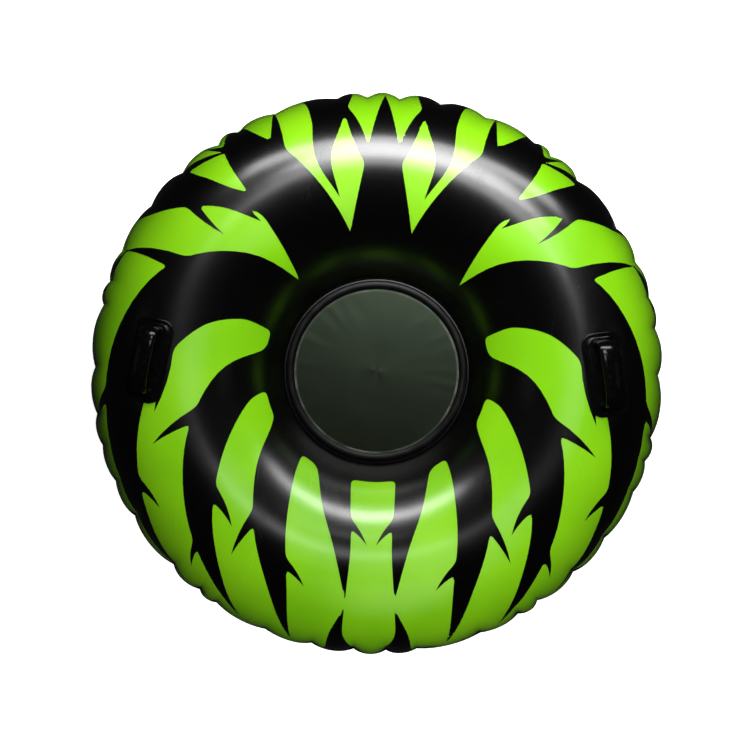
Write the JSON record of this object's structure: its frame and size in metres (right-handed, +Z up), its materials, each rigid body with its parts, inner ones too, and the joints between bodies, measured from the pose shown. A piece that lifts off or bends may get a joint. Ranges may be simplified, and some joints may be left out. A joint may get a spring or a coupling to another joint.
{
  "type": "snow tube",
  "caption": "Round inflatable snow tube with scalloped outer seam, flat disc seat in the middle, two moulded grab handles on top and an air valve underneath.",
  "frame": {"origin": "on the ground under the middle of the seat disc", "axes": "+Z up out of the seat, +Y towards the end of the tube that the tops of the handles lean in to, +X towards the right handle"},
  "size_m": [1.1144, 1.0962, 0.3186],
  "materials": {
    "printed_sheet": "glossy PVC sheet, lime green with black print",
    "black_sheet": "glossy black PVC sheet",
    "disc_sheet": "satin charcoal PVC sheet",
    "handle_moulding": "glossy black moulding",
    "valve_moulding": "satin black moulding",
    "soft_rubber": "matt grey rubber"
  },
  "bodies": {
    "tube": {"top_skin": "printed_sheet", "bottom_skin": "black_sheet", "centre_disc": "disc_sheet", "inner_seam_welt": "black_sheet", "handle_left_pad": "handle_moulding", "handle_left_grip": "handle_moulding", "handle_right_pad": "handle_moulding", "handle_right_grip": "handle_moulding", "valve_patch": "black_sheet", "valve_base": "valve_moulding"},
    "gasket": {"valve_gasket": "soft_rubber"},
    "insert": {"valve_insert": "valve_moulding"},
    "flap": {"valve_flap": "soft_rubber"},
    "cap": {"valve_cap": "valve_moulding"}
  },
  "joints": [
    {"name": "valve_insert_lift", "type": "slide", "parent": "tube", "child": "gasket", "axis": [0, 0.6923, -0.7216], "range_m": [0, 0.005]},
    {"name": "valve_insert_turn", "type": "hinge", "parent": "gasket", "child": "insert", "pos_m": [0, -0.236, 0.06687], "axis": [0, 0.6923, -0.7216], "range_deg": [0, 450]},
    {"name": "valve_flap_swing", "type": "hinge", "parent": "insert", "child": "flap", "pos_m": [0.0106, -0.23967, 0.07069], "axis": [0, 0.7216, 0.6923], "range_deg": [0, 70], "stiffness_Nm_per_rad": 0.002},
    {"name": "valve_cap_swing", "type": "hinge", "parent": "insert", "child": "cap", "pos_m": [0.021, -0.22568, 0.05611], "axis": [0, -0.7216, -0.6923], "range_deg": [0, 150]}
  ],
  "couplings": [
    {"joint": "valve_insert_turn", "follows": "valve_insert_lift", "rad_per_m": 1570.8}
  ]
}
